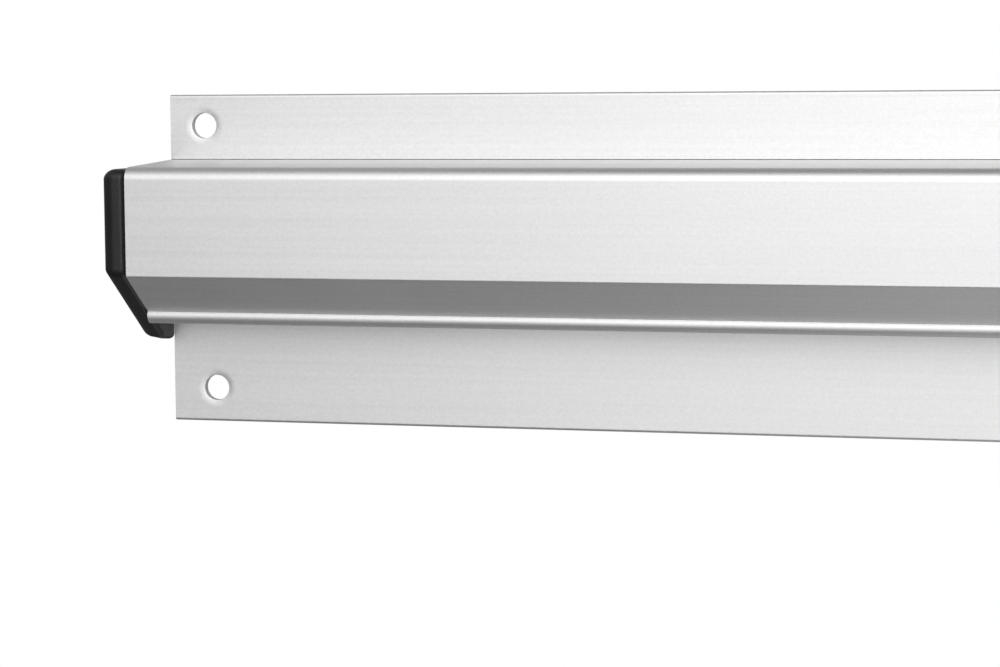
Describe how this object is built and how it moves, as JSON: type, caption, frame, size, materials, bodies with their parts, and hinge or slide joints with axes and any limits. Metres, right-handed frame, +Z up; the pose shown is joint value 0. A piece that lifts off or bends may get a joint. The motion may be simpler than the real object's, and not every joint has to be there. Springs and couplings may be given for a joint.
{
  "type": "order ticket rail",
  "caption": "Wall-mounted aluminium rail that grips paper order tickets between its back plate and a row of loose glass marbles, with black plastic end caps.",
  "frame": {"origin": "middle of the flat back face that lies on the wall", "axes": "+X along the rail to the right seen from the front, +Y into the wall, +Z up"},
  "size_m": [0.314, 0.0246, 0.0606],
  "materials": {
    "anodised_aluminium": "satin anodised extrusion",
    "black_plastic": "moulded, fine satin texture",
    "clear_glass": "smooth clear glass"
  },
  "bodies": {
    "rail": {"rail_profile": "anodised_aluminium", "left_end_cap": "black_plastic", "right_end_cap": "black_plastic"},
    "ball_01": {"marble_01": "clear_glass"},
    "ball_02": {"marble_02": "clear_glass"},
    "ball_03": {"marble_03": "clear_glass"},
    "ball_04": {"marble_04": "clear_glass"},
    "ball_05": {"marble_05": "clear_glass"},
    "ball_06": {"marble_06": "clear_glass"},
    "ball_07": {"marble_07": "clear_glass"},
    "ball_08": {"marble_08": "clear_glass"},
    "ball_09": {"marble_09": "clear_glass"},
    "ball_10": {"marble_10": "clear_glass"},
    "ball_11": {"marble_11": "clear_glass"},
    "ball_12": {"marble_12": "clear_glass"},
    "ball_13": {"marble_13": "clear_glass"},
    "ball_14": {"marble_14": "clear_glass"},
    "ball_15": {"marble_15": "clear_glass"},
    "ball_16": {"marble_16": "clear_glass"},
    "ball_17": {"marble_17": "clear_glass"},
    "ball_18": {"marble_18": "clear_glass"}
  },
  "joints": [
    {"name": "marble_01_ramp", "type": "slide", "parent": "rail", "child": "ball_01", "axis": [0, -0.8141, 0.5807], "range_m": [0, 0.0057]},
    {"name": "marble_02_ramp", "type": "slide", "parent": "rail", "child": "ball_02", "axis": [0, -0.8141, 0.5807], "range_m": [0, 0.0057]},
    {"name": "marble_03_ramp", "type": "slide", "parent": "rail", "child": "ball_03", "axis": [0, -0.8141, 0.5807], "range_m": [0, 0.0057]},
    {"name": "marble_04_ramp", "type": "slide", "parent": "rail", "child": "ball_04", "axis": [0, -0.8141, 0.5807], "range_m": [0, 0.0057]},
    {"name": "marble_05_ramp", "type": "slide", "parent": "rail", "child": "ball_05", "axis": [0, -0.8141, 0.5807], "range_m": [0, 0.0057]},
    {"name": "marble_06_ramp", "type": "slide", "parent": "rail", "child": "ball_06", "axis": [0, -0.8141, 0.5807], "range_m": [0, 0.0057]},
    {"name": "marble_07_ramp", "type": "slide", "parent": "rail", "child": "ball_07", "axis": [0, -0.8141, 0.5807], "range_m": [0, 0.0057]},
    {"name": "marble_08_ramp", "type": "slide", "parent": "rail", "child": "ball_08", "axis": [0, -0.8141, 0.5807], "range_m": [0, 0.0057]},
    {"name": "marble_09_ramp", "type": "slide", "parent": "rail", "child": "ball_09", "axis": [0, -0.8141, 0.5807], "range_m": [0, 0.0057]},
    {"name": "marble_10_ramp", "type": "slide", "parent": "rail", "child": "ball_10", "axis": [0, -0.8141, 0.5807], "range_m": [0, 0.0057]},
    {"name": "marble_11_ramp", "type": "slide", "parent": "rail", "child": "ball_11", "axis": [0, -0.8141, 0.5807], "range_m": [0, 0.0057]},
    {"name": "marble_12_ramp", "type": "slide", "parent": "rail", "child": "ball_12", "axis": [0, -0.8141, 0.5807], "range_m": [0, 0.0057]},
    {"name": "marble_13_ramp", "type": "slide", "parent": "rail", "child": "ball_13", "axis": [0, -0.8141, 0.5807], "range_m": [0, 0.0057]},
    {"name": "marble_14_ramp", "type": "slide", "parent": "rail", "child": "ball_14", "axis": [0, -0.8141, 0.5807], "range_m": [0, 0.0057]},
    {"name": "marble_15_ramp", "type": "slide", "parent": "rail", "child": "ball_15", "axis": [0, -0.8141, 0.5807], "range_m": [0, 0.0057]},
    {"name": "marble_16_ramp", "type": "slide", "parent": "rail", "child": "ball_16", "axis": [0, -0.8141, 0.5807], "range_m": [0, 0.0057]},
    {"name": "marble_17_ramp", "type": "slide", "parent": "rail", "child": "ball_17", "axis": [0, -0.8141, 0.5807], "range_m": [0, 0.0057]},
    {"name": "marble_18_ramp", "type": "slide", "parent": "rail", "child": "ball_18", "axis": [0, -0.8141, 0.5807], "range_m": [0, 0.0057]}
  ]
}
